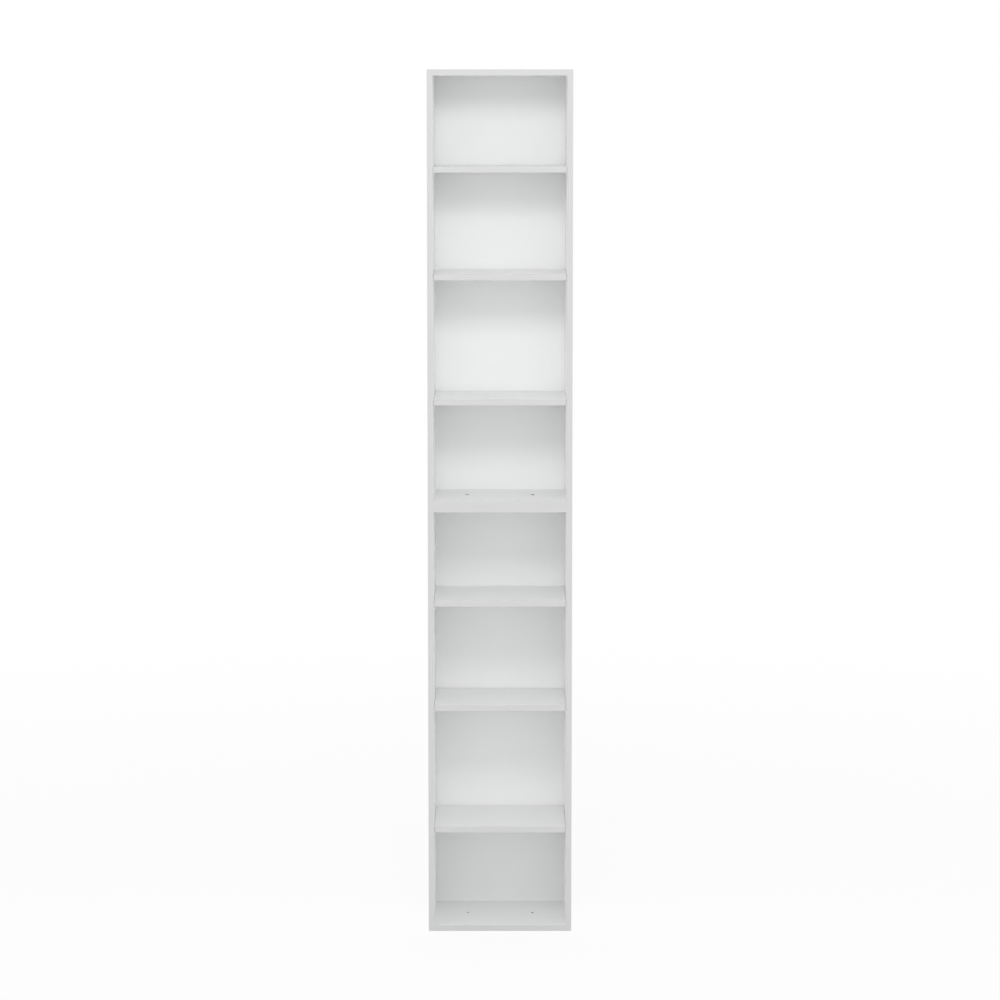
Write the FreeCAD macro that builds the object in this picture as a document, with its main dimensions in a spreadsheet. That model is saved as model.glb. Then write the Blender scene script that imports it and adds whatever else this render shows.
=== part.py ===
"""A tall, narrow bookcase made of two equal carcass units, one bolted on top of the other.

Frame: the origin is on the floor under the middle of the case, X runs across the front,
+Y to the back and +Z up. Each unit has two sides, a top and a bottom panel between them,
a back panel held in grooves and three loose shelves on supports. Sizes are in millimetres.
"""

import FreeCAD
import Part
import Sketcher
import os

DIMENSIONS = {
    # the case as a whole
    "case_width": 400,
    "case_depth": 300,
    "unit_height": 1200,
    "board_thickness": 16,
    # edge bands glued on the front edges
    "band_thickness": 1,
    "band_round": 0.3,
    # back panel and the groove that holds it
    "back_thickness": 3,
    "back_inset": 10,
    "groove_depth": 6,
    "groove_clearance": 0.2,
    # loose shelves, with the height of each underside above the unit's floor
    "shelf_end_gap": 0.6,
    "shelf_setback": 4,
    "shelf_rear_gap": 2,
    "first_shelf_height": 265,
    "second_shelf_height": 609.5,
    "third_shelf_height": 904,
    # shelf supports and their holes
    "support_stem_diameter": 5,
    "support_stem_length": 9,
    "support_edge_distance": 37,
    "support_hole_pitch": 32,
    "support_reach": 9,
    "support_width": 10,
    "support_rise": 12,
    "support_flange": 1.6,
    "support_plate": 2,
    "support_fillet": 1.2,
    "support_corner": 2,
    # clearances of round pieces in their holes
    "round_clearance": 0.1,
    "hole_end_gap": 1,
    # cam locks in the top and bottom panels
    "cam_diameter": 14.8,
    "cam_floor": 3.4,
    "cam_recess": 0.3,
    "cam_end_distance": 24,
    "cam_slot_clearance": 0.3,
    "cam_cross_length": 9,
    "cam_cross_width": 1.6,
    "cam_cross_depth": 2,
    "joint_edge_distance": 40,
    # cam bolts screwed into the sides
    "bolt_thread_diameter": 5,
    "bolt_thread_length": 11,
    "bolt_collar_diameter": 7.4,
    "bolt_collar_length": 2,
    "bolt_shank_diameter": 6,
    "bolt_neck_diameter": 3.8,
    "bolt_head_diameter": 6,
    "bolt_head_length": 3.5,
    "bolt_channel_diameter": 8,
    # dowels beside the cam bolts
    "dowel_diameter": 8,
    "dowel_length": 30,
    "dowel_in_side": 10,
    "dowel_offset": 32,
    "dowel_chamfer": 0.8,
    # bolts and sleeve nuts that join the two units
    "stack_hole_diameter": 8,
    "stack_hole_spacing": 184,
    "stack_head_diameter": 10,
    "stack_head_height": 1.2,
    "stack_head_chamfer": 0.4,
    "stack_bolt_diameter": 5.6,
    "stack_bolt_past_joint": 10,
    "stack_sleeve_past_joint": 6,
    "stack_sleeve_floor": 3,
    "stack_key_flats": 3,
    "stack_key_depth": 2.6,
}

UNITS = {"lower": "0", "upper": "dims.unit_height"}
SHELVES = {
    "shelf_1": "dims.first_shelf_height",
    "shelf_2": "dims.second_shelf_height",
    "shelf_3": "dims.third_shelf_height",
}
SUPPORT_HOLES_EACH_WAY = 1
HEX_SIDES = 6
# Two places nearer than this are the same one.
SAME_PLACE = 0.001

# Places along a board, measured from its bare front edge towards the back.
THICK = "dims.board_thickness"
BOARD_DEPTH = "(dims.case_depth - dims.band_thickness)"
MID_DEPTH = "(dims.case_depth / 2 - dims.band_thickness)"
GROOVE_WIDTH = "(dims.back_thickness + 2 * dims.groove_clearance)"
GROOVE_REAR = f"({BOARD_DEPTH} - dims.back_inset)"
GROOVE_FRONT = f"({GROOVE_REAR} - {GROOVE_WIDTH})"
GROOVE_FLOOR = f"({THICK} - dims.groove_depth)"
BACK_FACE = f"({GROOVE_FRONT} + dims.groove_clearance)"
CAM_ROWS = ("dims.joint_edge_distance", f"({BACK_FACE} - dims.joint_edge_distance)")
DOWEL_ROWS = (f"({CAM_ROWS[0]} + dims.dowel_offset)", f"({CAM_ROWS[1]} - dims.dowel_offset)")
SUPPORT_ROWS = ("dims.support_edge_distance", f"({BACK_FACE} - dims.support_edge_distance)")

# Places in the case's frame.
BOARD_FRONT = "(dims.band_thickness - dims.case_depth / 2)"
INNER_WIDTH = "(dims.case_width - 2 * dims.board_thickness)"
INNER_HALF = f"({INNER_WIDTH} / 2)"
SHELF_LENGTH = f"({INNER_WIDTH} - 2 * dims.shelf_end_gap)"
SHELF_FRONT = "(dims.shelf_setback + dims.band_thickness - dims.case_depth / 2)"
SHELF_DEPTH = f"({BACK_FACE} - dims.shelf_rear_gap - dims.shelf_setback)"

# Holes that take a round piece with its clearance.
SUPPORT_HOLE = "(dims.support_stem_diameter + 2 * dims.round_clearance)"
BOLT_HOLE = "(dims.bolt_thread_diameter + 2 * dims.round_clearance)"
DOWEL_HOLE = "(dims.dowel_diameter + 2 * dims.round_clearance)"
CAM_HOUSING = "(dims.cam_diameter + 2 * dims.round_clearance)"
CAM_HOUSING_DEPTH = f"({THICK} - dims.cam_floor)"
CAM_HEIGHT = f"({CAM_HOUSING_DEPTH} - dims.cam_recess)"
# The middle of a cam bolt's head lies this far past the axis of its cam lock.
HEAD_PAST_CAM = "(dims.bolt_head_length / 4)"
STACK_SLEEVE = "(dims.stack_hole_diameter - 2 * dims.round_clearance)"
STACK_BORE = "(dims.stack_bolt_diameter + 2 * dims.round_clearance)"

# Origin point of a sketch, and the start, end and centre of its lines and circles.
SKETCH_ORIGIN = (-1, 1)
START, END, CENTRE = 1, 2, 3

HALF_TURN_ABOUT = {
    "x": FreeCAD.Rotation(FreeCAD.Vector(1, 0, 0), 180),
    "y": FreeCAD.Rotation(FreeCAD.Vector(0, 1, 0), 180),
    "z": FreeCAD.Rotation(FreeCAD.Vector(0, 0, 1), 180),
}

doc = FreeCAD.newDocument("bookcase")
sheet = doc.addObject("Spreadsheet::Sheet", "dims")


def fill_sheet():
    """Writes every driving dimension into a cell of the sheet, with its name as the alias."""
    for row, (alias, value) in enumerate(DIMENSIONS.items(), start=1):
        sheet.set(f"A{row}", alias)
        sheet.set(f"B{row}", str(value))
        sheet.setAlias(f"B{row}", alias)
    doc.recompute()


def number(expression):
    """The present value of an expression on the sheet's dimensions."""
    return float(sheet.evalExpression(expression))


def place(item, x="0", y="0", z="0", turn=None):
    """Puts a piece in the case's frame, turned if asked, with its place bound to the sheet."""
    if turn is not None:
        item.Placement = FreeCAD.Placement(FreeCAD.Vector(), turn)
    for axis, expression in zip("xyz", (x, y, z)):
        item.setExpression(f"Placement.Base.{axis}", expression)


def origin_plane(body, role):
    """One of the three planes through a body's own origin."""
    return next(item for item in body.Origin.OriginFeatures if item.Role == role)


def sketch_on(body, role, offset="0"):
    """An empty sketch on one of the body's origin planes, moved along the plane's normal."""
    sketch = body.newObject("Sketcher::SketchObject", "sketch")
    sketch.AttachmentSupport = (origin_plane(body, role), [""])
    sketch.MapMode = "FlatFace"
    sketch.setExpression("AttachmentOffset.Base.z", offset)
    return sketch


def bind(sketch, kind, where, expression):
    """Adds a sized constraint whose value follows an expression."""
    index = sketch.addConstraint(Sketcher.Constraint(kind, *where, number(expression)))
    sketch.setExpression(f"Constraints[{index}]", expression)


def bind_point(sketch, element, point, x, y):
    """Holds a point of a line or a circle at x, y from the sketch's origin."""
    bind(sketch, "DistanceX", (*SKETCH_ORIGIN, element, point), x)
    bind(sketch, "DistanceY", (*SKETCH_ORIGIN, element, point), y)


def draw_outline(sketch, corners):
    """Draws a closed outline of straight lines through corners given as expressions."""
    points = [FreeCAD.Vector(number(x), number(y)) for x, y in corners]
    first = sketch.GeometryCount
    for start, end in zip(points, points[1:] + points[:1]):
        sketch.addGeometry(Part.LineSegment(start, end))
    for step, (x, y) in enumerate(corners):
        line = first + step
        following = first + (step + 1) % len(corners)
        sketch.addConstraint(Sketcher.Constraint("Coincident", line, END, following, START))
        bind_point(sketch, line, START, x, y)


def draw_rectangle(sketch, left, low, right, high):
    """Draws a rectangle between two corners."""
    draw_outline(sketch, [(left, low), (right, low), (right, high), (left, high)])


def draw_circle(sketch, x, y, diameter):
    """Draws a circle with its centre and diameter bound to expressions."""
    centre = FreeCAD.Vector(number(x), number(y))
    up = FreeCAD.Vector(0, 0, 1)
    circle = sketch.addGeometry(Part.Circle(centre, up, number(diameter) / 2))
    bind_point(sketch, circle, CENTRE, x, y)
    bind(sketch, "Diameter", (circle,), diameter)


def pad(body, sketch, length, backwards=False):
    """Raises a sketch into a solid along its normal, or against it."""
    feature = body.newObject("PartDesign::Pad", "pad")
    feature.Profile = sketch
    feature.Reversed = backwards
    feature.setExpression("Length", length)
    doc.recompute()
    return feature


def cut(body, sketch, depth, along_normal=False):
    """Cuts a sketch into the body, against its normal or along it, and checks that it cut something."""
    before = body.Shape.Volume
    feature = body.newObject("PartDesign::Pocket", "pocket")
    feature.Profile = sketch
    feature.Reversed = along_normal
    feature.setExpression("Length", depth)
    doc.recompute()
    if not body.Shape.Volume < before:
        raise RuntimeError(f"a cut in {body.Label} cut nothing")
    return feature


def revolve(body, sketch, axis):
    """Turns a half profile once round one of the sketch's own axes."""
    feature = body.newObject("PartDesign::Revolution", "turned")
    feature.Profile = sketch
    feature.ReferenceAxis = (sketch, [axis])
    feature.Angle = 360
    doc.recompute()
    return feature


def round_edges(body, feature, wanted, radius):
    """Rounds the edges of a feature whose bounding boxes pass a test."""
    edges = enumerate(feature.Shape.Edges, start=1)
    names = [f"Edge{count}" for count, edge in edges if wanted(edge.BoundBox)]
    rounding = body.newObject("PartDesign::Fillet", "rounded")
    rounding.Base = (feature, names)
    rounding.setExpression("Radius", radius)
    doc.recompute()
    return rounding


def round_front_edges(body, feature):
    """Rounds the long edges of a band that lie on its front face."""
    front = feature.Shape.BoundBox.YMin
    longest = max(edge.Length for edge in feature.Shape.Edges)

    def wanted(box):
        return box.YMax - front < SAME_PLACE and box.DiagonalLength > longest / 2

    round_edges(body, feature, wanted, "dims.band_round")


def new_body(label):
    """An empty body with a label."""
    body = doc.addObject("PartDesign::Body", label)
    body.Label = label
    return body


def mirrored_piece(label, source, normal, level="0"):
    """The mirror image of a piece in a plane across the case, raised to a level."""
    piece = doc.addObject("Part::Mirroring", label)
    piece.Label = label
    piece.Source = source
    piece.Normal = normal
    piece.setExpression("Base.z", level)
    return piece


def side_board(unit, base):
    """Left side of a unit: a full-height board with its back groove and the holes in its inner face."""
    body = new_body(f"{unit}_left_side")
    section = sketch_on(body, "XY_Plane")
    draw_outline(section, [
        ("0", "0"), (THICK, "0"),
        (THICK, GROOVE_FRONT), (GROOVE_FLOOR, GROOVE_FRONT),
        (GROOVE_FLOOR, GROOVE_REAR), (THICK, GROOVE_REAR),
        (THICK, BOARD_DEPTH), ("0", BOARD_DEPTH),
    ])
    pad(body, section, "dims.unit_height")
    ends = (f"{THICK} / 2", f"dims.unit_height - {THICK} / 2")

    bolt_holes = sketch_on(body, "YZ_Plane", THICK)
    dowel_holes = sketch_on(body, "YZ_Plane", THICK)
    for height in ends:
        for row in CAM_ROWS:
            draw_circle(bolt_holes, row, height, BOLT_HOLE)
        for row in DOWEL_ROWS:
            draw_circle(dowel_holes, row, height, DOWEL_HOLE)
    cut(body, bolt_holes, "dims.bolt_thread_length + dims.hole_end_gap")
    cut(body, dowel_holes, "dims.dowel_in_side + dims.hole_end_gap")

    support_holes = sketch_on(body, "YZ_Plane", THICK)
    for underside in SHELVES.values():
        for step in range(-SUPPORT_HOLES_EACH_WAY, SUPPORT_HOLES_EACH_WAY + 1):
            height = f"{THICK} + {underside} - dims.support_rise / 2 + {step} * dims.support_hole_pitch"
            for row in SUPPORT_ROWS:
                draw_circle(support_holes, row, height, SUPPORT_HOLE)
    cut(body, support_holes, "dims.support_stem_length + dims.hole_end_gap")
    place(body, "-dims.case_width / 2", BOARD_FRONT, base)
    return body


def bottom_board(unit, base):
    """Bottom panel of a unit, with its back groove, cam housings, dowel holes and stacking holes."""
    body = new_body(f"{unit}_bottom_panel")
    section = sketch_on(body, "YZ_Plane", f"-{INNER_HALF}")
    draw_outline(section, [
        ("0", "0"), (BOARD_DEPTH, "0"),
        (BOARD_DEPTH, THICK), (GROOVE_REAR, THICK),
        (GROOVE_REAR, GROOVE_FLOOR), (GROOVE_FRONT, GROOVE_FLOOR),
        (GROOVE_FRONT, THICK), ("0", THICK),
    ])
    pad(body, section, INNER_WIDTH)

    stack_holes = sketch_on(body, "XY_Plane")
    for way in (-1, 1):
        across = f"{way} * dims.stack_hole_spacing / 2"
        draw_circle(stack_holes, across, MID_DEPTH, "dims.stack_hole_diameter")
    cut(body, stack_holes, THICK, along_normal=True)

    housings = sketch_on(body, "XY_Plane")
    channels = sketch_on(body, "YZ_Plane", f"-{INNER_HALF}")
    dowel_holes = sketch_on(body, "YZ_Plane", f"-{INNER_HALF}")
    for row in CAM_ROWS:
        draw_circle(housings, f"dims.cam_end_distance - {INNER_HALF}", row, CAM_HOUSING)
        draw_circle(channels, row, f"{THICK} / 2", "dims.bolt_channel_diameter")
    for row in DOWEL_ROWS:
        draw_circle(dowel_holes, row, f"{THICK} / 2", DOWEL_HOLE)
    dowel_depth = "dims.dowel_length - dims.dowel_in_side + dims.hole_end_gap"
    left_end = [
        cut(body, housings, CAM_HOUSING_DEPTH, along_normal=True),
        cut(body, channels, "dims.cam_end_distance", along_normal=True),
        cut(body, dowel_holes, dowel_depth, along_normal=True),
    ]
    both_ends = body.newObject("PartDesign::Mirrored", "both_ends")
    both_ends.Originals = left_end
    both_ends.MirrorPlane = (origin_plane(body, "YZ_Plane"), [""])
    body.Tip = both_ends
    place(body, y=BOARD_FRONT, z=base)
    return body


def back_sheet(unit, base):
    """Back panel of a unit: a thin sheet that reaches into the grooves on all four sides."""
    reach = "(dims.groove_depth - dims.groove_clearance)"
    sheet_box = doc.addObject("Part::Box", f"{unit}_back_panel")
    sheet_box.Label = f"{unit}_back_panel"
    sheet_box.setExpression("Length", f"{INNER_WIDTH} + 2 * {reach}")
    sheet_box.setExpression("Width", "dims.back_thickness")
    sheet_box.setExpression("Height", f"dims.unit_height - 2 * {THICK} + 2 * {reach}")
    place(
        sheet_box, f"-{INNER_HALF} - {reach}", f"{BOARD_FRONT} + {BACK_FACE}", f"{base} + {THICK} - {reach}"
    )
    return sheet_box


def shelf_board(unit, name, level):
    """Loose shelf: a plain board that is shorter than the space between the sides."""
    board = doc.addObject("Part::Box", f"{unit}_{name}")
    board.Label = f"{unit}_{name}"
    board.setExpression("Length", SHELF_LENGTH)
    board.setExpression("Width", SHELF_DEPTH)
    board.setExpression("Height", THICK)
    place(board, f"-{SHELF_LENGTH} / 2", SHELF_FRONT, level)
    return board


def level_band(label, length, front, level):
    """Edge band of a shelf or a panel: a strip across the case with rounded front edges."""
    body = new_body(label)
    section = sketch_on(body, "YZ_Plane", f"-{length} / 2")
    draw_rectangle(section, "0", "0", "dims.band_thickness", THICK)
    round_front_edges(body, pad(body, section, length))
    place(body, y=f"{front} - dims.band_thickness", z=level)
    return body


def upright_band(label, base):
    """Edge band of a left side: a full-height strip with rounded front edges."""
    body = new_body(label)
    section = sketch_on(body, "XY_Plane")
    draw_rectangle(section, "0", "0", THICK, "dims.band_thickness")
    round_front_edges(body, pad(body, section, "dims.unit_height"))
    place(body, "-dims.case_width / 2", "-dims.case_depth / 2", base)
    return body


def draw_hexagon(sketch, flats):
    """Draws a regular hexagon round the sketch's origin, measured across its flats."""
    corner = f"{flats} / 2 / cos({180 / HEX_SIDES})"
    turns = [360 / HEX_SIDES * step for step in range(HEX_SIDES)]
    draw_outline(sketch, [(f"{corner} * cos({turn})", f"{corner} * sin({turn})") for turn in turns])


def cam_lock():
    """Cam lock, standing on its outward face, with its slot open towards -X."""
    body = new_body("cam_lock")
    disc = sketch_on(body, "XY_Plane")
    draw_circle(disc, "0", "0", "dims.cam_diameter")
    pad(body, disc, CAM_HEIGHT)

    axis_height = f"({THICK} / 2 - dims.cam_recess)"
    pocket_radius = "(dims.bolt_head_diameter / 2 + dims.hole_end_gap)"
    slot_floor = f"({axis_height} - {pocket_radius})"
    head_pocket = sketch_on(body, "XY_Plane", CAM_HEIGHT)
    draw_circle(head_pocket, HEAD_PAST_CAM, "0", f"2 * {pocket_radius}")
    cut(body, head_pocket, f"{CAM_HEIGHT} - {slot_floor}")
    neck_slot = sketch_on(body, "XY_Plane", CAM_HEIGHT)
    half_slot = "(dims.bolt_neck_diameter / 2 + dims.cam_slot_clearance)"
    draw_rectangle(neck_slot, "-dims.cam_diameter", f"-{half_slot}", "0", half_slot)
    cut(body, neck_slot, f"{CAM_HEIGHT} - {slot_floor}")

    for length, width in (("cam_cross_length", "cam_cross_width"), ("cam_cross_width", "cam_cross_length")):
        arm = sketch_on(body, "XY_Plane")
        along = f"dims.{length} / 2"
        across = f"dims.{width} / 2"
        draw_rectangle(arm, f"-{along}", f"-{across}", along, across)
        cut(body, arm, "dims.cam_cross_depth", along_normal=True)
    return body


def cam_bolt():
    """Cam bolt along X: its thread behind the face of the side at x = 0, its head in the cam lock."""
    body = new_body("cam_bolt")
    half = sketch_on(body, "XY_Plane")
    tip = f"(dims.cam_end_distance + {HEAD_PAST_CAM} + dims.bolt_head_length / 2)"
    neck_end = f"({tip} - dims.bolt_head_length)"
    neck_start = "(dims.cam_end_distance - dims.cam_diameter / 2 - dims.hole_end_gap)"
    draw_outline(half, [
        ("-dims.bolt_thread_length", "0"),
        (tip, "0"), (tip, "dims.bolt_head_diameter / 2"),
        (neck_end, "dims.bolt_head_diameter / 2"), (neck_end, "dims.bolt_neck_diameter / 2"),
        (neck_start, "dims.bolt_neck_diameter / 2"), (neck_start, "dims.bolt_shank_diameter / 2"),
        ("dims.bolt_collar_length", "dims.bolt_shank_diameter / 2"),
        ("dims.bolt_collar_length", "dims.bolt_collar_diameter / 2"),
        ("0", "dims.bolt_collar_diameter / 2"), ("0", "dims.bolt_thread_diameter / 2"),
        ("-dims.bolt_thread_length", "dims.bolt_thread_diameter / 2"),
    ])
    revolve(body, half, "H_Axis")
    return body


def dowel():
    """Wooden dowel along X, with chamfered ends, crossing the face of the side at x = 0."""
    body = new_body("dowel")
    half = sketch_on(body, "XY_Plane")
    far = "(dims.dowel_length - dims.dowel_in_side)"
    radius = "dims.dowel_diameter / 2"
    end_radius = f"({radius} - dims.dowel_chamfer)"
    draw_outline(half, [
        ("-dims.dowel_in_side", "0"), (far, "0"),
        (far, end_radius), (f"{far} - dims.dowel_chamfer", radius),
        ("dims.dowel_chamfer - dims.dowel_in_side", radius), ("-dims.dowel_in_side", end_radius),
    ])
    revolve(body, half, "H_Axis")
    return body


def shelf_support():
    """Shelf support: an angle with a plate under the shelf, a flange on the side and a stem in its hole."""
    body = new_body("shelf_support")
    angle = sketch_on(body, "XZ_Plane", "-dims.support_width / 2")
    underside = "dims.support_rise - dims.support_plate"
    draw_outline(angle, [
        ("0", "0"), ("dims.support_flange", "0"),
        ("dims.support_flange", underside), ("dims.support_reach", underside),
        ("dims.support_reach", "dims.support_rise"), ("0", "dims.support_rise"),
    ])
    bent = pad(body, angle, "dims.support_width")
    bend = FreeCAD.Vector(number("dims.support_flange"), 0, number(underside))
    plate_end = number("dims.support_reach")

    def inner_bend(box):
        return box.Center.distanceToPoint(bend) < SAME_PLACE

    def free_corner(box):
        on_plate = box.XMin > plate_end - SAME_PLACE and box.ZLength > SAME_PLACE
        on_flange = box.ZMax < SAME_PLACE and box.XLength > SAME_PLACE
        return on_plate or on_flange

    eased = round_edges(body, bent, inner_bend, "dims.support_fillet")
    round_edges(body, eased, free_corner, "dims.support_corner")
    stem = sketch_on(body, "YZ_Plane")
    draw_circle(stem, "0", "dims.support_rise / 2", "dims.support_stem_diameter")
    pad(body, stem, "dims.support_stem_length", backwards=True)
    return body


def stacking_bolt():
    """Stacking bolt along Z: a flat head above z = 0 with a key socket, and a shank below."""
    body = new_body("stacking_bolt")
    half = sketch_on(body, "XZ_Plane")
    shank_end = f"-({THICK} + dims.stack_bolt_past_joint)"
    head = "dims.stack_head_diameter / 2"
    draw_outline(half, [
        ("0", shank_end), ("dims.stack_bolt_diameter / 2", shank_end),
        ("dims.stack_bolt_diameter / 2", "0"), (head, "0"),
        (head, "dims.stack_head_height - dims.stack_head_chamfer"),
        (f"{head} - dims.stack_head_chamfer", "dims.stack_head_height"),
        ("0", "dims.stack_head_height"),
    ])
    revolve(body, half, "V_Axis")
    socket = sketch_on(body, "XY_Plane", "dims.stack_head_height")
    draw_hexagon(socket, "dims.stack_key_flats")
    cut(body, socket, "dims.stack_key_depth")
    return body


def stacking_nut():
    """Sleeve nut along Z: a flat flange below z = 0 and a bored sleeve above that takes the bolt."""
    body = new_body("stacking_nut")
    half = sketch_on(body, "XZ_Plane")
    sleeve_end = f"({THICK} + dims.stack_sleeve_past_joint)"
    flange = "dims.stack_head_diameter / 2"
    draw_outline(half, [
        ("0", "-dims.stack_head_height"),
        (f"{flange} - dims.stack_head_chamfer", "-dims.stack_head_height"),
        (flange, "dims.stack_head_chamfer - dims.stack_head_height"),
        (flange, "0"), (f"{STACK_SLEEVE} / 2", "0"),
        (f"{STACK_SLEEVE} / 2", sleeve_end), (f"{STACK_BORE} / 2", sleeve_end),
        (f"{STACK_BORE} / 2", "dims.stack_sleeve_floor"), ("0", "dims.stack_sleeve_floor"),
    ])
    revolve(body, half, "V_Axis")
    socket = sketch_on(body, "XY_Plane", "-dims.stack_head_height")
    draw_hexagon(socket, "dims.stack_key_flats")
    cut(body, socket, "dims.stack_key_depth", along_normal=True)
    return body


class Group:
    """Identical pieces that share one node, each a link to the same pattern piece."""

    def __init__(self, label, pattern):
        self.label = label
        self.pattern = pattern
        self.links = []

    def add(self, x, y, z, turn=None):
        """Adds one piece at a place in the case's frame."""
        link = doc.addObject("App::Link", f"{self.label}_piece")
        link.LinkedObject = self.pattern
        place(link, x, y, z, turn)
        self.links.append(link)

    def node(self):
        """The finished group."""
        group = doc.addObject("Part::Compound", self.label)
        group.Label = self.label
        group.Links = self.links
        return group


def corner_fasteners(unit, base, patterns):
    """Cam locks, cam bolts and dowels at the four corners of a unit, near the front and near the back."""
    locks = Group(f"{unit}_cam_locks", patterns["cam_lock"])
    bolts = Group(f"{unit}_cam_bolts", patterns["cam_bolt"])
    dowels = Group(f"{unit}_dowels", patterns["dowel"])
    lock_turns = {
        ("left", "bottom"): None,
        ("right", "bottom"): HALF_TURN_ABOUT["z"],
        ("left", "top"): HALF_TURN_ABOUT["x"],
        ("right", "top"): HALF_TURN_ABOUT["y"],
    }
    for (end, panel), lock_turn in lock_turns.items():
        way = "-1" if end == "left" else "1"
        end_turn = None if end == "left" else HALF_TURN_ABOUT["z"]
        joint = f"{way} * {INNER_HALF}"
        lock_place = f"{way} * ({INNER_HALF} - dims.cam_end_distance)"
        if panel == "bottom":
            lock_level = f"{base} + dims.cam_recess"
            axis_level = f"{base} + {THICK} / 2"
        else:
            lock_level = f"{base} + dims.unit_height - dims.cam_recess"
            axis_level = f"{base} + dims.unit_height - {THICK} / 2"
        for row in CAM_ROWS:
            locks.add(lock_place, f"{BOARD_FRONT} + {row}", lock_level, lock_turn)
            bolts.add(joint, f"{BOARD_FRONT} + {row}", axis_level, end_turn)
        for row in DOWEL_ROWS:
            dowels.add(joint, f"{BOARD_FRONT} + {row}", axis_level, end_turn)
    return [locks.node(), bolts.node(), dowels.node()]


def shelf_supports(unit, name, level, pattern):
    """The four supports of one shelf, with their flat tops at the shelf's underside."""
    supports = Group(f"{unit}_{name}_supports", pattern)
    for row in SUPPORT_ROWS:
        place_y = f"{BOARD_FRONT} + {row}"
        bottom = f"{level} - dims.support_rise"
        supports.add(f"-{INNER_HALF}", place_y, bottom)
        supports.add(INNER_HALF, place_y, bottom, HALF_TURN_ABOUT["z"])
    return supports.node()


def stacking_hardware(patterns):
    """The two bolts and sleeve nuts that join the units through their stacking holes."""
    bolts = Group("stacking_bolts", patterns["stacking_bolt"])
    nuts = Group("stacking_nuts", patterns["stacking_nut"])
    for way in (-1, 1):
        across = f"{way} * dims.stack_hole_spacing / 2"
        bolts.add(across, "0", f"dims.unit_height + {THICK}")
        nuts.add(across, "0", f"dims.unit_height - {THICK}")
    return [bolts.node(), nuts.node()]


def carcass_unit(unit, base, patterns):
    """All the pieces of one unit whose underside is at a given level."""
    left = side_board(unit, base)
    left_band = upright_band(f"{unit}_left_side_band", base)
    bottom = bottom_board(unit, base)
    bottom_band = level_band(f"{unit}_bottom_panel_band", INNER_WIDTH, BOARD_FRONT, base)
    across = FreeCAD.Vector(1, 0, 0)
    upright = FreeCAD.Vector(0, 0, 1)
    middle = f"{base} + dims.unit_height / 2"
    pieces = [
        left,
        left_band,
        mirrored_piece(f"{unit}_right_side", left, across),
        mirrored_piece(f"{unit}_right_side_band", left_band, across),
        bottom,
        bottom_band,
        mirrored_piece(f"{unit}_top_panel", bottom, upright, middle),
        mirrored_piece(f"{unit}_top_panel_band", bottom_band, upright, middle),
        back_sheet(unit, base),
    ]
    for name, underside in SHELVES.items():
        level = f"({base} + {THICK} + {underside})"
        pieces.append(shelf_board(unit, name, level))
        pieces.append(level_band(f"{unit}_{name}_band", SHELF_LENGTH, SHELF_FRONT, level))
        pieces.append(shelf_supports(unit, name, level, patterns["shelf_support"]))
    return pieces + corner_fasteners(unit, base, patterns)


def check(nodes):
    """Stops if any object failed, or any piece has no sound solid."""
    for item in doc.Objects:
        if {"Invalid", "Error"} & set(item.State):
            raise RuntimeError(f"{item.Label} failed: {item.State}")
    for node in nodes:
        if node.Shape.isNull() or not node.Shape.isValid() or not node.Shape.Solids:
            raise RuntimeError(f"{node.Label} has no sound solid")


def main():
    """Builds the bookcase and writes one file for each piece."""
    fill_sheet()
    makers = (cam_lock, cam_bolt, dowel, shelf_support, stacking_bolt, stacking_nut)
    patterns = {maker.__name__: maker() for maker in makers}
    nodes = []
    for unit, base in UNITS.items():
        nodes += carcass_unit(unit, base, patterns)
    nodes += stacking_hardware(patterns)
    doc.recompute()
    check(nodes)
    os.makedirs("parts", exist_ok=True)
    for node in nodes:
        node.Shape.exportStep(f"parts/{node.Label}.step")
        print(f"{node.Label}: {len(node.Shape.Solids)} solids, {node.Shape.Volume / 1000:.1f} cm3")


main()
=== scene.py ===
"""Looks of a tall narrow bookcase: two stacked white box units with loose shelves and their fittings.

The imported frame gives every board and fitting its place. This file gives each of them its finish and
sets up a plain studio with a camera straight in front of the case. Lengths are in metres.
"""

import logging
import math
from abc import ABC, abstractmethod
from dataclasses import dataclass
from enum import Enum

import bmesh
import bpy
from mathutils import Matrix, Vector


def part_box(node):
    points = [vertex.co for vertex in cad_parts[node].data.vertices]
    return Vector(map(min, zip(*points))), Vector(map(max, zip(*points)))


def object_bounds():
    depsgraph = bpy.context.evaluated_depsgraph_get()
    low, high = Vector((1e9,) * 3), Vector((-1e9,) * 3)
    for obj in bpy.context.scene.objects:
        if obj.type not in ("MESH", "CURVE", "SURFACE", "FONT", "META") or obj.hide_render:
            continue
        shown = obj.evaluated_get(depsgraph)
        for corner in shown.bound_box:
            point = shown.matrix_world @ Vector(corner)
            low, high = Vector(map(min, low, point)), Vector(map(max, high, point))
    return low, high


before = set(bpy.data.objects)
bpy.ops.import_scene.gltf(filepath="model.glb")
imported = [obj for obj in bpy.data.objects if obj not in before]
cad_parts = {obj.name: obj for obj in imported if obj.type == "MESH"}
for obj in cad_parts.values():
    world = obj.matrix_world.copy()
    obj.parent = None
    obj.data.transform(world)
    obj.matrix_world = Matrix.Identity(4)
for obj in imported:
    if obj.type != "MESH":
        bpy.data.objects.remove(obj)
cad_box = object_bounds()

MM = 0.001
UNITS = ("lower", "upper")
NOISE_ROUGHNESS = 0.55
FULL_WHITE = (1.0, 1.0, 1.0)

Colour = tuple[float, float, float]
Point = tuple[float, float, float]
Limits = tuple[float, float]
Stops = tuple[tuple[float, Colour], ...]
log = logging.getLogger("bookcase")


class Axis(Enum):
    """The frame's axes, by their place in a vector."""

    X = 0
    Y = 1
    Z = 2


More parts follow.
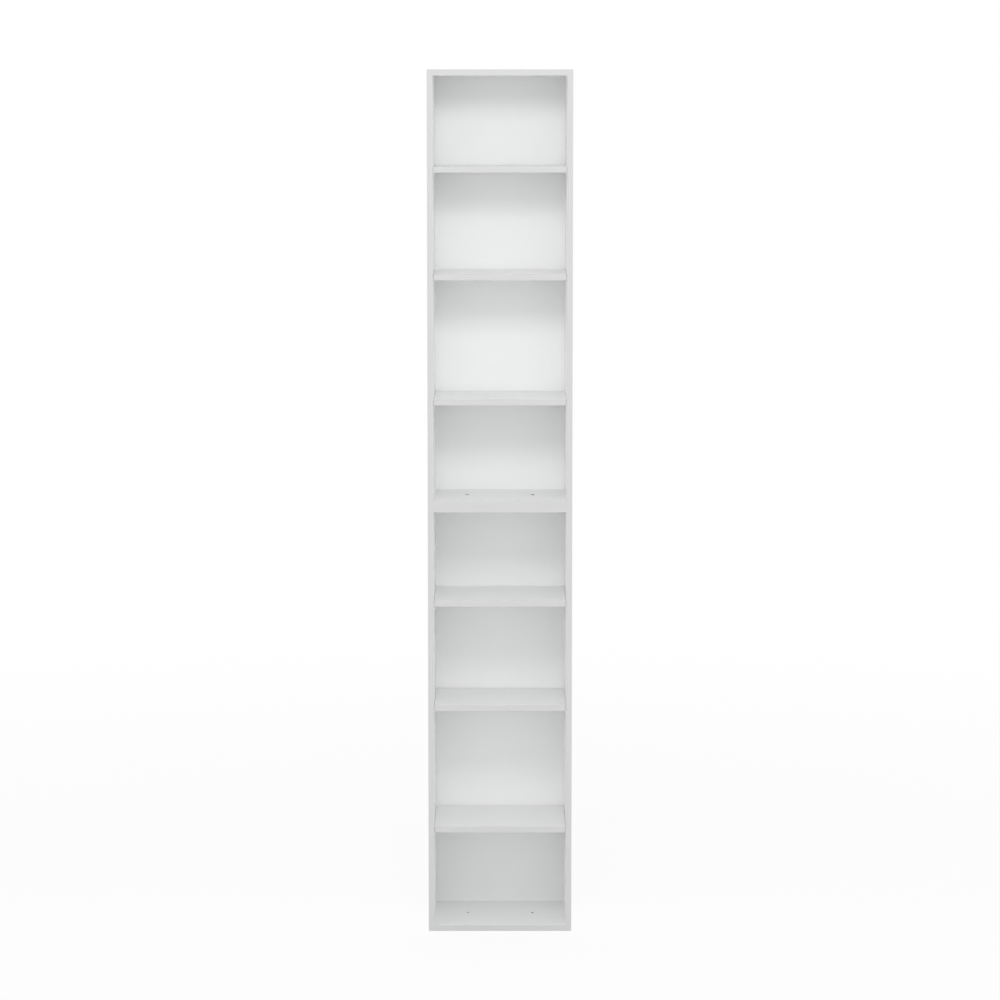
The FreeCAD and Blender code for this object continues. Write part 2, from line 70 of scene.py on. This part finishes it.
class Value:
    """A number that varies over a surface: operators on it add Math nodes."""

    def __init__(self, graph: "Graph", socket: bpy.types.NodeSocket) -> None:
        """Keep the output socket and the graph that its maths goes into."""
        self.graph = graph
        self.socket = socket

    def _math(self, operation: str, first: "Value | float", second: "Value | float" = 0.0) -> "Value":
        """Add a Math node and wrap its result."""
        node = self.graph.add("ShaderNodeMath", {"operation": operation}, {0: first, 1: second})
        return Value(self.graph, node.outputs[0])

    def __add__(self, other: "Value | float") -> "Value":
        """Sum."""
        return self._math("ADD", self, other)

    def __radd__(self, other: float) -> "Value":
        """Sum with a number in front."""
        return self._math("ADD", other, self)

    def __sub__(self, other: "Value | float") -> "Value":
        """Difference."""
        return self._math("SUBTRACT", self, other)

    def __rsub__(self, other: float) -> "Value":
        """Difference from a number."""
        return self._math("SUBTRACT", other, self)

    def __mul__(self, other: "Value | float") -> "Value":
        """Product."""
        return self._math("MULTIPLY", self, other)

    def __rmul__(self, other: float) -> "Value":
        """Product with a number in front."""
        return self._math("MULTIPLY", other, self)

    def __gt__(self, other: "Value | float") -> "Value":
        """One where this is the greater, else zero."""
        return self._math("GREATER_THAN", self, other)

    def __lt__(self, other: "Value | float") -> "Value":
        """One where this is the smaller, else zero."""
        return self._math("LESS_THAN", self, other)

    def __abs__(self) -> "Value":
        """Size without the sign."""
        return self._math("ABSOLUTE", self)

    def larger(self, other: "Value | float") -> "Value":
        """The larger of the two."""
        return self._math("MAXIMUM", self, other)

    def sine(self) -> "Value":
        """Sine of an angle in radians."""
        return self._math("SINE", self)

    def between(self, first: "Value | float", second: "Value | float") -> "Value":
        """The first where this is zero and the second where it is one."""
        return first * (1.0 - self) + second * self

    def smooth(self, start: float, end: float) -> "Value":
        """Ease from zero to one.

        Args:
            start: Where the result is zero.
            end: Where it is one, above or below the start.

        Returns:
            The eased value.
        """
        feeds = {"Value": self, "From Min": start, "From Max": end}
        node = self.graph.add("ShaderNodeMapRange", {"interpolation_type": "SMOOTHSTEP"}, feeds)
        return Value(self.graph, node.outputs[0])


Feed = Value | bpy.types.NodeSocket | float | tuple


class Graph:
    """A node tree, with one method that adds any node and short ones for the nodes used most."""

    def __init__(self, tree: bpy.types.NodeTree) -> None:
        """Empty the tree and keep it."""
        tree.nodes.clear()
        self.tree = tree

    def add(
        self,
        kind: str,
        settings: dict[str, object] | None = None,
        feeds: dict[str | int, Feed] | None = None,
    ) -> bpy.types.Node:
        """Add a node.

        Args:
            kind: The node's type.
            settings: Its properties, which are set first; "stops" holds a ramp's places and colours.
            feeds: The values or links of its input sockets, by name or number.

        Returns:
            The new node.
        """
        node = self.tree.nodes.new(kind)
        for name, setting in (settings or {}).items():
            if name == "stops":
                self._set_stops(node.color_ramp, setting)
            else:
                setattr(node, name, setting)
        for name, feed in (feeds or {}).items():
            self._feed(node.inputs[name], feed)
        return node

    def _set_stops(self, ramp: bpy.types.ColorRamp, stops: Stops) -> None:
        """Give a ramp its stops.

        Args:
            ramp: The ramp.
            stops: The place and colour of each stop, in order.
        """
        while len(ramp.elements) < len(stops):
            ramp.elements.new(1.0)
        for element, (place, colour) in zip(ramp.elements, stops):
            element.position = place
            element.color = (*colour, 1.0)

    def _feed(self, socket: bpy.types.NodeSocket, feed: Feed) -> None:
        """Link an input socket, or set it.

        Args:
            socket: The input socket.
            feed: A value or another socket to link it to, or a constant to set it to.
        """
        if isinstance(feed, Value):
            self.tree.links.new(feed.socket, socket)
        elif isinstance(feed, bpy.types.NodeSocket):
            self.tree.links.new(feed, socket)
        elif socket.type == "RGBA":
            socket.default_value = (*feed, 1.0)
        else:
            socket.default_value = feed

    def place(self) -> bpy.types.NodeSocket:
        """The point's Object coordinates."""
        return self.add("ShaderNodeTexCoord").outputs["Object"]

    def distance(self) -> Value:
        """How far the point is from the frame's origin."""
        node = self.add("ShaderNodeVectorMath", {"operation": "LENGTH"}, {0: self.place()})
        return Value(self, node.outputs["Value"])

    def along(self, axis: Axis, vector: bpy.types.NodeSocket) -> Value:
        """One coordinate of a vector."""
        parts = self.add("ShaderNodeSeparateXYZ", feeds={0: vector})
        return Value(self, parts.outputs[axis.value])

    def stretched(self, vector: bpy.types.NodeSocket, scales: dict[Axis, float]) -> bpy.types.NodeSocket:
        """A vector scaled along some axes, to draw a pattern out or press it flat."""
        scale = tuple(scales.get(axis, 1.0) for axis in Axis)
        return self.add("ShaderNodeMapping", feeds={"Vector": vector, "Scale": scale}).outputs[0]

    def noise(self, vector: bpy.types.NodeSocket, pitch: float, detail: float = 2.0) -> Value:
        """Soft noise.

        Args:
            vector: Where the noise is read.
            pitch: About how far apart its lumps are.
            detail: How many finer layers it has.

        Returns:
            The noise, about 0.5 on average.
        """
        feeds = {"Vector": vector, "Scale": 1.0 / pitch, "Detail": detail, "Roughness": NOISE_ROUGHNESS}
        return Value(self, self.add("ShaderNodeTexNoise", feeds=feeds).outputs[0])

    def warped(self, vector: bpy.types.NodeSocket, pitch: float, reach: float) -> bpy.types.NodeSocket:
        """A vector pushed about by noise, to make a pattern's edges ragged.

        Args:
            vector: The vector.
            pitch: About how far apart the noise's lumps are.
            reach: How far a point may be pushed.

        Returns:
            The pushed vector.
        """
        push = self.add("ShaderNodeTexNoise", feeds={"Vector": vector, "Scale": 1.0 / pitch})
        feeds = {0: push.outputs["Color"], 1: (reach, reach, reach), 2: vector}
        return self.add("ShaderNodeVectorMath", {"operation": "MULTIPLY_ADD"}, feeds).outputs[0]

    def cells(self, vector: bpy.types.NodeSocket, pitch: float) -> Value:
        """Cells about a pitch wide, each with a number of its own from zero to one."""
        node = self.add("ShaderNodeTexVoronoi", feeds={"Vector": vector, "Scale": 1.0 / pitch})
        return self.along(Axis.X, node.outputs["Color"])

    def seen(self) -> Value:
        """What the camera sees, straight, mirrored or through glass.

        Returns:
            One for rays that the camera sees, zero for those that only carry light.
        """
        rays = self.add("ShaderNodeLightPath").outputs
        mirrored = Value(self, rays["Is Glossy Ray"]).larger(Value(self, rays["Is Transmission Ray"]))
        return Value(self, rays["Is Camera Ray"]).larger(mirrored)

    def mix(self, share: Value, first: Feed, second: Feed) -> bpy.types.NodeSocket:
        """A colour between two others: the second where share is 1."""
        feeds = {0: share, 6: first, 7: second}
        return self.add("ShaderNodeMix", {"data_type": "RGBA"}, feeds).outputs[2]

    def uneven(self, share: Value, colour: Colour, spread: float) -> bpy.types.NodeSocket:
        """A colour that is darker by a spread where share is 0 and lighter where it is 1."""
        return self.mix(share, tint(colour, 1.0 - spread), tint(colour, 1.0 + spread))

    def ramp(self, share: Value, stops: Stops) -> bpy.types.NodeSocket:
        """A colour read from a ramp's stops."""
        return self.add("ShaderNodeValToRGB", {"stops": stops}, {0: share}).outputs[0]

    def bump(self, height: Value) -> bpy.types.NodeSocket:
        """A normal tilted by a height in metres."""
        feeds = {"Height": height, "Distance": 1.0, "Strength": 1.0}
        return self.add("ShaderNodeBump", feeds=feeds).outputs[0]

    def surface(self, **feeds: Feed) -> bpy.types.Node:
        """A Principled shader; an underscore in a name stands for a space."""
        named = {name.replace("_", " "): feed for name, feed in feeds.items()}
        return self.add("ShaderNodeBsdfPrincipled", feeds=named)


def tint(colour: Colour, factor: float) -> Colour:
    """A colour made lighter or darker."""
    return tuple(factor * part for part in colour)


class Finish(ABC):
    """A surface finish, which its nodes make into a material."""

    @abstractmethod
    def shade(self, graph: Graph) -> bpy.types.Node:
        """Build the nodes and return the shader."""

    def material(self, name: str) -> bpy.types.Material:
        """Make the material.

        Args:
            name: The material's name.

        Returns:
            The material, with this finish's nodes.
        """
        made = bpy.data.materials.new(name)
        made.use_nodes = True
        graph = Graph(made.node_tree)
        graph.add("ShaderNodeOutputMaterial", feeds={"Surface": self.shade(graph).outputs[0]})
        return made


@dataclass(frozen=True)
class BoardSpan:
    """Where a board lies: its middle and its half sizes along the three axes."""

    middle: Point
    half: Point

    @classmethod
    def of(cls, node: str) -> "BoardSpan":
        """The span of a CAD node's box."""
        low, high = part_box(node)
        return cls(tuple((low + high) / 2), tuple((high - low) / 2))

    @property
    def thin(self) -> Axis:
        """The axis across the thickness."""
        return Axis(self.half.index(min(self.half)))

    @property
    def long(self) -> Axis:
        """The axis along the length."""
        return Axis(self.half.index(max(self.half)))

    @property
    def front(self) -> float:
        """How far back the front edge or face lies."""
        return self.middle[Axis.Y.value] - self.half[Axis.Y.value]

    @property
    def rear(self) -> float:
        """How far back the rear edge or face lies."""
        return self.middle[Axis.Y.value] + self.half[Axis.Y.value]


@dataclass(frozen=True)
class Melamine(Finish):
    """White satin foil over chipboard, which shows on the rear edge and in the holes."""

    span: BoardSpan
    foil: Colour = (0.908, 0.914, 0.911)
    foil_depth: float = 0.2 * MM
    foil_roughness: float = 0.4
    foil_roughness_spread: float = 0.1
    unevenness: float = 0.015
    cloud_pitch: float = 90 * MM
    cloud_share: float = 0.6
    grain_pitch: float = 0.7 * MM
    grain_depth: float = 0.05 * MM
    chip_colours: Stops = (
        (0.15, (0.20, 0.150, 0.105)),
        (0.50, (0.40, 0.315, 0.230)),
        (0.85, (0.58, 0.475, 0.360)),
    )
    chip_pitch: float = 2.6 * MM
    chip_draw: float = 0.4
    chip_squeeze: float = 1.9
    chip_depth: float = 0.4 * MM
    chip_roughness: float = 0.85
    dust_pitch: float = 0.9 * MM
    core_share: float = 0.6
    core_limits: Limits = (0.45, 0.8)
    # painted shade: a near-black laid over the chips on the walls of holes and grooves, where a recess
    # is in shade
    painted_hole_shade: Colour = (0.035, 0.031, 0.028)
    hole_shade_share: float = 0.75

    def _offset(self, graph: Graph, place: bpy.types.NodeSocket, axis: Axis) -> Value:
        """How far a point lies from the board's middle along an axis."""
        return abs(graph.along(axis, place) - self.span.middle[axis.value])

    def _inside(self, graph: Graph, place: bpy.types.NodeSocket, axis: Axis) -> Value:
        """One where a point lies under the foil along an axis, zero on the board's outside."""
        return self._offset(graph, place, axis) < self.span.half[axis.value] - self.foil_depth

    def _chips(self, graph: Graph, place: bpy.types.NodeSocket) -> Value:
        """Lay flat chips in the core and dust near the faces.

        Args:
            graph: The material's graph.
            place: The point's coordinates.

        Returns:
            A number from dark to light.
        """
        thin = self.span.thin
        drawn = graph.stretched(place, {self.span.long: self.chip_draw, thin: self.chip_squeeze})
        core = graph.cells(graph.warped(drawn, self.chip_pitch, self.chip_pitch), self.chip_pitch)
        dust = graph.noise(drawn, self.dust_pitch, detail=3.0)
        core_end, dust_start = (limit * self.span.half[thin.value] for limit in self.core_limits)
        share = self.core_share * (1.0 - self._offset(graph, place, thin).smooth(core_end, dust_start))
        return share.between(dust, core)

    def shade(self, graph: Graph) -> bpy.types.Node:
        """Build the foil, the chips, the painted shade on the hole walls and the masks between them.

        Args:
            graph: The material's graph.

        Returns:
            The shader.
        """
        place = graph.place()
        bare = self._inside(graph, place, self.span.thin) * self._inside(graph, place, self.span.long)
        cloud = graph.noise(place, self.cloud_pitch)
        grain = graph.noise(place, self.grain_pitch)
        patches = cloud * self.cloud_share + grain * (1.0 - self.cloud_share)
        foil = graph.uneven(patches, self.foil, self.unevenness)
        chips = self._chips(graph, place)
        # painted shade goes on the bare walls in front of the rear edge, that is the holes and grooves,
        # darkening their chips
        hole_shade_mask = graph.along(Axis.Y, place) < self.span.rear - self.foil_depth
        chips_and_hole_shade = graph.mix(hole_shade_mask * self.hole_shade_share, graph.ramp(chips, self.chip_colours), self.painted_hole_shade)
        colour = graph.mix(bare, foil, chips_and_hole_shade)
        satin = self.foil_roughness + self.foil_roughness_spread * cloud
        roughness = bare.between(satin, self.chip_roughness)
        normal = graph.bump(bare.between(grain * self.grain_depth, chips * self.chip_depth))
        return graph.surface(Base_Color=colour, Roughness=roughness, Normal=normal)


@dataclass(frozen=True)
class EdgeBand(Finish):
    """White plastic band glued to a front edge, scraped along its length; its grey colour is painted
    shade on the front edges.
    """

    long: Axis
    # painted shade: the band is greyer than the boards' foil, so the case's front edges render darker
    # than its white insides
    plastic: Colour = (0.585, 0.585, 0.585)
    roughness: float = 0.36
    roughness_spread: float = 0.12
    unevenness: float = 0.015
    cloud_pitch: float = 60 * MM
    cloud_share: float = 0.5
    scrape_pitch: float = 0.5 * MM
    scrape_draw: float = 0.02
    scrape_depth: float = 0.02 * MM

    def shade(self, graph: Graph) -> bpy.types.Node:
        """Build the drawn-out scrape marks and a faint cloud of colour.

        Args:
            graph: The material's graph.

        Returns:
            The shader.
        """
        place = graph.place()
        scrape = graph.noise(graph.stretched(place, {self.long: self.scrape_draw}), self.scrape_pitch)
        cloud = graph.noise(place, self.cloud_pitch)
        patches = cloud * self.cloud_share + scrape * (1.0 - self.cloud_share)
        colour = graph.uneven(patches, self.plastic, self.unevenness)
        roughness = self.roughness + self.roughness_spread * scrape
        normal = graph.bump(scrape * self.scrape_depth)
        return graph.surface(Base_Color=colour, Roughness=roughness, Normal=normal)


@dataclass(frozen=True)
class Hardboard(Finish):
    """Thin pressed board, lacquered white in front and bare brown behind, with a screen's print."""

    span: BoardSpan
    lacquer: Colour = (0.930, 0.936, 0.933)
    lacquer_depth: float = 0.3 * MM
    lacquer_roughness: float = 0.45
    lacquer_roughness_spread: float = 0.1
    unevenness: float = 0.012
    cloud_pitch: float = 280 * MM
    cloud_share: float = 0.6
    roller_pitch: float = 1.4 * MM
    roller_depth: float = 0.03 * MM
    fibre_colours: Stops = (
        (0.30, (0.13, 0.072, 0.036)),
        (0.50, (0.26, 0.155, 0.082)),
        (0.72, (0.38, 0.245, 0.140)),
    )
    fibre_roughness: float = 0.6
    fibre_roughness_spread: float = 0.3
    clump_pitch: float = 14 * MM
    clump_share: float = 0.45
    fleck_pitch: float = 1.2 * MM
    screen_pitch: float = 1.8 * MM
    screen_depth: float = 0.12 * MM

    def _screen(self, graph: Graph, place: bpy.types.NodeSocket) -> Value:
        """Print the wires of the screen that the board was pressed on.

        Args:
            graph: The material's graph.
            place: The point's coordinates.

        Returns:
            The print's height, from zero to one.
        """
        turn = 2 * math.pi / self.screen_pitch
        across = (graph.along(Axis.X, place) * turn).sine()
        upward = (graph.along(Axis.Z, place) * turn).sine()
        return 0.5 + 0.5 * across * upward

    def shade(self, graph: Graph) -> bpy.types.Node:
        """Build the lacquered face, the bare face and the mask between them.

        Args:
            graph: The material's graph.

        Returns:
            The shader.
        """
        place = graph.place()
        bare = graph.along(Axis.Y, place) > self.span.front + self.lacquer_depth
        cloud = graph.noise(place, self.cloud_pitch)
        roller = graph.noise(place, self.roller_pitch)
        patches = cloud * self.cloud_share + roller * (1.0 - self.cloud_share)
        lacquer = graph.uneven(patches, self.lacquer, self.unevenness)
        clump = graph.noise(place, self.clump_pitch, detail=4.0)
        fleck = graph.noise(place, self.fleck_pitch, detail=3.0)
        fibres = clump * self.clump_share + fleck * (1.0 - self.clump_share)
        colour = graph.mix(bare, lacquer, graph.ramp(fibres, self.fibre_colours))
        satin = self.lacquer_roughness + self.lacquer_roughness_spread * cloud
        matt = self.fibre_roughness + self.fibre_roughness_spread * fleck
        pressed = (self._screen(graph, place) + fleck) * self.screen_depth
        normal = graph.bump(bare.between(roller * self.roller_depth, pressed))
        return graph.surface(Base_Color=colour, Roughness=bare.between(satin, matt), Normal=normal)


@dataclass(frozen=True)
class MouldedPlastic(Finish):
    """White moulded plastic with a fine spark-eroded grain."""

    plastic: Colour = (0.86, 0.865, 0.86)
    roughness: float = 0.38
    roughness_spread: float = 0.15
    flow_pitch: float = 3 * MM
    flow_dark: float = 0.96
    flow_light: float = 1.03
    grain_pitch: float = 0.25 * MM
    grain_depth: float = 0.03 * MM

    def shade(self, graph: Graph) -> bpy.types.Node:
        """Build the grain and a slight flow of colour.

        Args:
            graph: The material's graph.

        Returns:
            The shader.
        """
        place = graph.place()
        grain = graph.noise(place, self.grain_pitch)
        flow = graph.noise(place, self.flow_pitch)
        colour = graph.mix(flow, tint(self.plastic, self.flow_dark), tint(self.plastic, self.flow_light))
        roughness = self.roughness + self.roughness_spread * grain
        normal = graph.bump(grain * self.grain_depth)
        return graph.surface(Base_Color=colour, Roughness=roughness, Normal=normal)


@dataclass(frozen=True)
class Metal(Finish):
    """Bare or coated metal with a mottled skin and fine marks; without depth they show only as sheen."""

    skin: Colour
    unevenness: float
    roughness: float
    mottle_pitch: float
    mark_pitch: float
    mark_depth: float = 0.0
    roughness_spread: float = 0.25
    metallic: float = 1.0

    def shade(self, graph: Graph) -> bpy.types.Node:
        """Build the mottled colour, the uneven sheen and the marks.

        Args:
            graph: The material's graph.

        Returns:
            The shader.
        """
        place = graph.place()
        mottle = graph.noise(place, self.mottle_pitch, detail=3.0)
        marks = graph.noise(place, self.mark_pitch)
        colour = graph.uneven(mottle, self.skin, self.unevenness)
        roughness = self.roughness + self.roughness_spread * mottle * marks
        relief = {"Normal": graph.bump(marks * self.mark_depth)} if self.mark_depth else {}
        return graph.surface(Base_Color=colour, Roughness=roughness, Metallic=self.metallic, **relief)


@dataclass(frozen=True)
class Beech(Finish):
    """Plain turned beech, with its grain along the pin and short dark flecks."""

    wood: Colour = (0.55, 0.36, 0.20)
    roughness: float = 0.68
    long: Axis = Axis.X
    grain_pitch: float = 0.6 * MM
    grain_draw: float = 0.08
    grain_dark: float = 0.75
    grain_light: float = 1.2
    fleck_pitch: float = 0.24 * MM
    fleck_level: float = 0.62
    fleck_dark: float = 0.45
    fleck_share: float = 0.5

    def shade(self, graph: Graph) -> bpy.types.Node:
        """Build the drawn-out grain and the flecks.

        Args:
            graph: The material's graph.

        Returns:
            The shader.
        """
        drawn = graph.stretched(graph.place(), {self.long: self.grain_draw})
        grain = graph.noise(drawn, self.grain_pitch, detail=3.0)
        flecks = graph.noise(drawn, self.fleck_pitch) > self.fleck_level
        wood = graph.mix(grain, tint(self.wood, self.grain_dark), tint(self.wood, self.grain_light))
        colour = graph.mix(self.fleck_share * flecks, wood, tint(self.wood, self.fleck_dark))
        return graph.surface(Base_Color=colour, Roughness=self.roughness)


@dataclass(frozen=True)
class FloorPaint(Finish):
    """Matt pale paint that keeps the case's shadow, with white laid over it for the camera."""

    paint: Colour = (0.93, 0.93, 0.93)
    roughness: float = 0.9
    white_share: float = 0.88
    fade: Limits = (1.0, 6.0)

    def shade(self, graph: Graph) -> bpy.types.Node:
        """Build the paint and the white, which takes over away from the case.

        Args:
            graph: The material's graph.

        Returns:
            The shader.
        """
        paint = graph.surface(Base_Color=self.paint, Roughness=self.roughness, Specular_IOR_Level=0.0)
        white = graph.add("ShaderNodeEmission", feeds={"Color": FULL_WHITE})
        share = graph.seen() * graph.distance().smooth(*self.fade).between(self.white_share, 1.0)
        feeds = {0: share, 1: paint.outputs[0], 2: white.outputs[0]}
        return graph.add("ShaderNodeMixShader", feeds=feeds)


DIE_CAST_ZINC = Metal(
    skin=(0.55, 0.56, 0.57),
    unevenness=0.12,
    roughness=0.34,
    mottle_pitch=2.5 * MM,
    mark_pitch=0.4 * MM,
    mark_depth=0.04 * MM,
)
PLATED_STEEL = Metal(
    skin=(0.60, 0.59, 0.56),
    unevenness=0.10,
    roughness=0.22,
    mottle_pitch=1.5 * MM,
    mark_pitch=0.3 * MM,
)
BURNISHED_STEEL = Metal(
    skin=(0.30, 0.30, 0.31),
    unevenness=0.15,
    roughness=0.34,
    mottle_pitch=1.2 * MM,
    mark_pitch=0.2 * MM,
    mark_depth=0.02 * MM,
)


def dress(node: str, material: bpy.types.Material) -> None:
    """Give a CAD node its material and report it.

    Args:
        node: The node's name.
        material: The material.
    """
    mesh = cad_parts[node].data
    mesh.materials.clear()
    mesh.materials.append(material)
    log.info("%s: %s", node, material.name)


def dress_board(node: str) -> None:
    """Give a board its foil and its front band its plastic.

    Args:
        node: The board's name, which its band's name starts with.
    """
    span = BoardSpan.of(node)
    dress(node, Melamine(span).material(node))
    dress(f"{node}_band", EdgeBand(span.long).material(f"{node}_band"))


@dataclass
class CaseUnit:
    """One box of the stack: two sides, a bottom, a top and a grooved back, with front edge bands."""

    name: str
    boards: tuple[str, ...] = ("left_side", "right_side", "bottom_panel", "top_panel")

    def dress(self) -> None:
        """Give each board and its band their finishes, and the back its own."""
        for board in self.boards:
            dress_board(f"{self.name}_{board}")
        back = f"{self.name}_back_panel"
        dress(back, Hardboard(BoardSpan.of(back)).material(back))


@dataclass
class ShelfSet:
    """The loose shelves of one unit, counted from the lowest, and the supports that they lie on."""

    unit: str
    numbers: tuple[int, ...] = (1, 2, 3)

    def dress(self, plastic: bpy.types.Material) -> None:
        """Give the shelves, their bands and their supports their finishes.

        Args:
            plastic: The finish of the supports.
        """
        for number in self.numbers:
            shelf = f"{self.unit}_shelf_{number}"
            dress_board(shelf)
            dress(f"{shelf}_supports", plastic)


@dataclass
class Fittings:
    """What holds the boards together: cam locks with their bolts, dowels, and the stacking hardware."""

    zinc: Metal = DIE_CAST_ZINC
    plated: Metal = PLATED_STEEL
    burnished: Metal = BURNISHED_STEEL
    dowel: Beech = Beech()

    def dress(self) -> None:
        """Give each group of fittings its finish."""
        zinc = self.zinc.material("die_cast_zinc")
        plated = self.plated.material("plated_steel")
        beech = self.dowel.material("beech")
        for unit in UNITS:
            dress(f"{unit}_cam_locks", zinc)
            dress(f"{unit}_cam_bolts", plated)
            dress(f"{unit}_dowels", beech)
        burnished = self.burnished.material("burnished_steel")
        dress("stacking_bolts", burnished)
        dress("stacking_nuts", burnished)


@dataclass
class Studio:
    """A pale floor, a white surround that is dimmer overhead and behind, and one soft lamp in front.

    The limits of the surround's parts are coordinates of a direction one unit long.
    """

    floor_half: float = 16.0
    surround: float = 1.10
    lift_low: float = 0.25
    low_limits: Limits = (0.30, 0.0)
    dim_above: float = 0.9
    above_limits: Limits = (0.70, 0.95)
    dim_behind: float = 0.22
    behind_limits: Limits = (-0.2, 0.6)
    lamp_place: Point = (0.0, -3.35, 3.34)
    lamp_aim: Point = (0.0, -0.15, -1.0)
    lamp_size: float = 0.85
    lamp_power: float = 29.5

    def lay_floor(self) -> None:
        """Make the floor and stage it."""
        made = bmesh.new()
        bmesh.ops.create_grid(made, x_segments=1, y_segments=1, size=self.floor_half)
        mesh = bpy.data.meshes.new("floor")
        made.to_mesh(mesh)
        made.free()
        mesh.materials.append(FloorPaint().material("floor"))
        floor = bpy.data.objects.new("floor", mesh)
        bpy.context.scene.collection.objects.link(floor)

    def set_surround(self) -> None:
        """Light the case from all round, least from above and behind, and show plain white."""
        world = bpy.data.worlds.new("surround")
        world.use_nodes = True
        graph = Graph(world.node_tree)
        way = graph.add("ShaderNodeTexCoord").outputs["Generated"]
        rise = graph.along(Axis.Z, way)
        low = rise.smooth(*self.low_limits)
        behind = graph.along(Axis.Y, way).smooth(*self.behind_limits)
        above = rise.smooth(*self.above_limits) * (1.0 - behind)
        light = self.surround + self.lift_low * low - (self.dim_above * above + self.dim_behind * behind)
        strength = graph.seen().between(light, 1.0)
        sky = graph.add("ShaderNodeBackground", feeds={"Color": FULL_WHITE, "Strength": strength})
        graph.add("ShaderNodeOutputWorld", feeds={"Surface": sky.outputs[0]})
        bpy.context.scene.world = world

    def hang_lamp(self) -> None:
        """Hang the soft lamp and turn it to the case's foot."""
        data = bpy.data.lights.new("soft_lamp", "AREA")
        data.shape = "SQUARE"
        data.size = self.lamp_size
        data.energy = self.lamp_power
        lamp = bpy.data.objects.new("soft_lamp", data)
        bpy.context.scene.collection.objects.link(lamp)
        lamp.location = self.lamp_place
        lamp.visible_camera = False
        aim = Vector(self.lamp_aim) - Vector(self.lamp_place)
        lamp.rotation_euler = aim.to_track_quat("-Z", "Y").to_euler()

    def build(self) -> None:
        """Set up the whole studio and plain view settings."""
        self.lay_floor()
        self.set_surround()
        self.hang_lamp()
        bpy.context.scene.view_settings.view_transform = "Standard"
        log.info("studio: floor, surround and soft lamp")


@dataclass
class Viewpoint:
    """The camera, in the middle in front of the case, looking slightly down."""

    front_distance: float = 9.0
    height: float = 2.26
    pitch: float = math.radians(6.6)
    lens: float = 117.9
    sensor: float = 36.0

    def build(self) -> None:
        """Make the camera and use it."""
        data = bpy.data.cameras.new("camera")
        data.lens = self.lens
        data.sensor_width = self.sensor
        camera = bpy.data.objects.new("camera", data)
        bpy.context.scene.collection.objects.link(camera)
        camera.location = (0.0, cad_box[0].y - self.front_distance, self.height)
        camera.rotation_euler = (math.pi / 2 - self.pitch, 0.0, 0.0)
        bpy.context.scene.camera = camera
        log.info("camera: %.2f m in front, %.2f m high", self.front_distance, self.height)


def main() -> None:
    """Dress the units, shelves and fittings, then set up the studio and the camera."""
    logging.basicConfig(level=logging.INFO, format="%(name)s: %(message)s")
    plastic = MouldedPlastic().material("support_plastic")
    for unit in UNITS:
        CaseUnit(unit).dress()
        ShelfSet(unit).dress(plastic)
    Fittings().dress()
    Studio().build()
    Viewpoint().build()


if __name__ == "__main__":
    main()
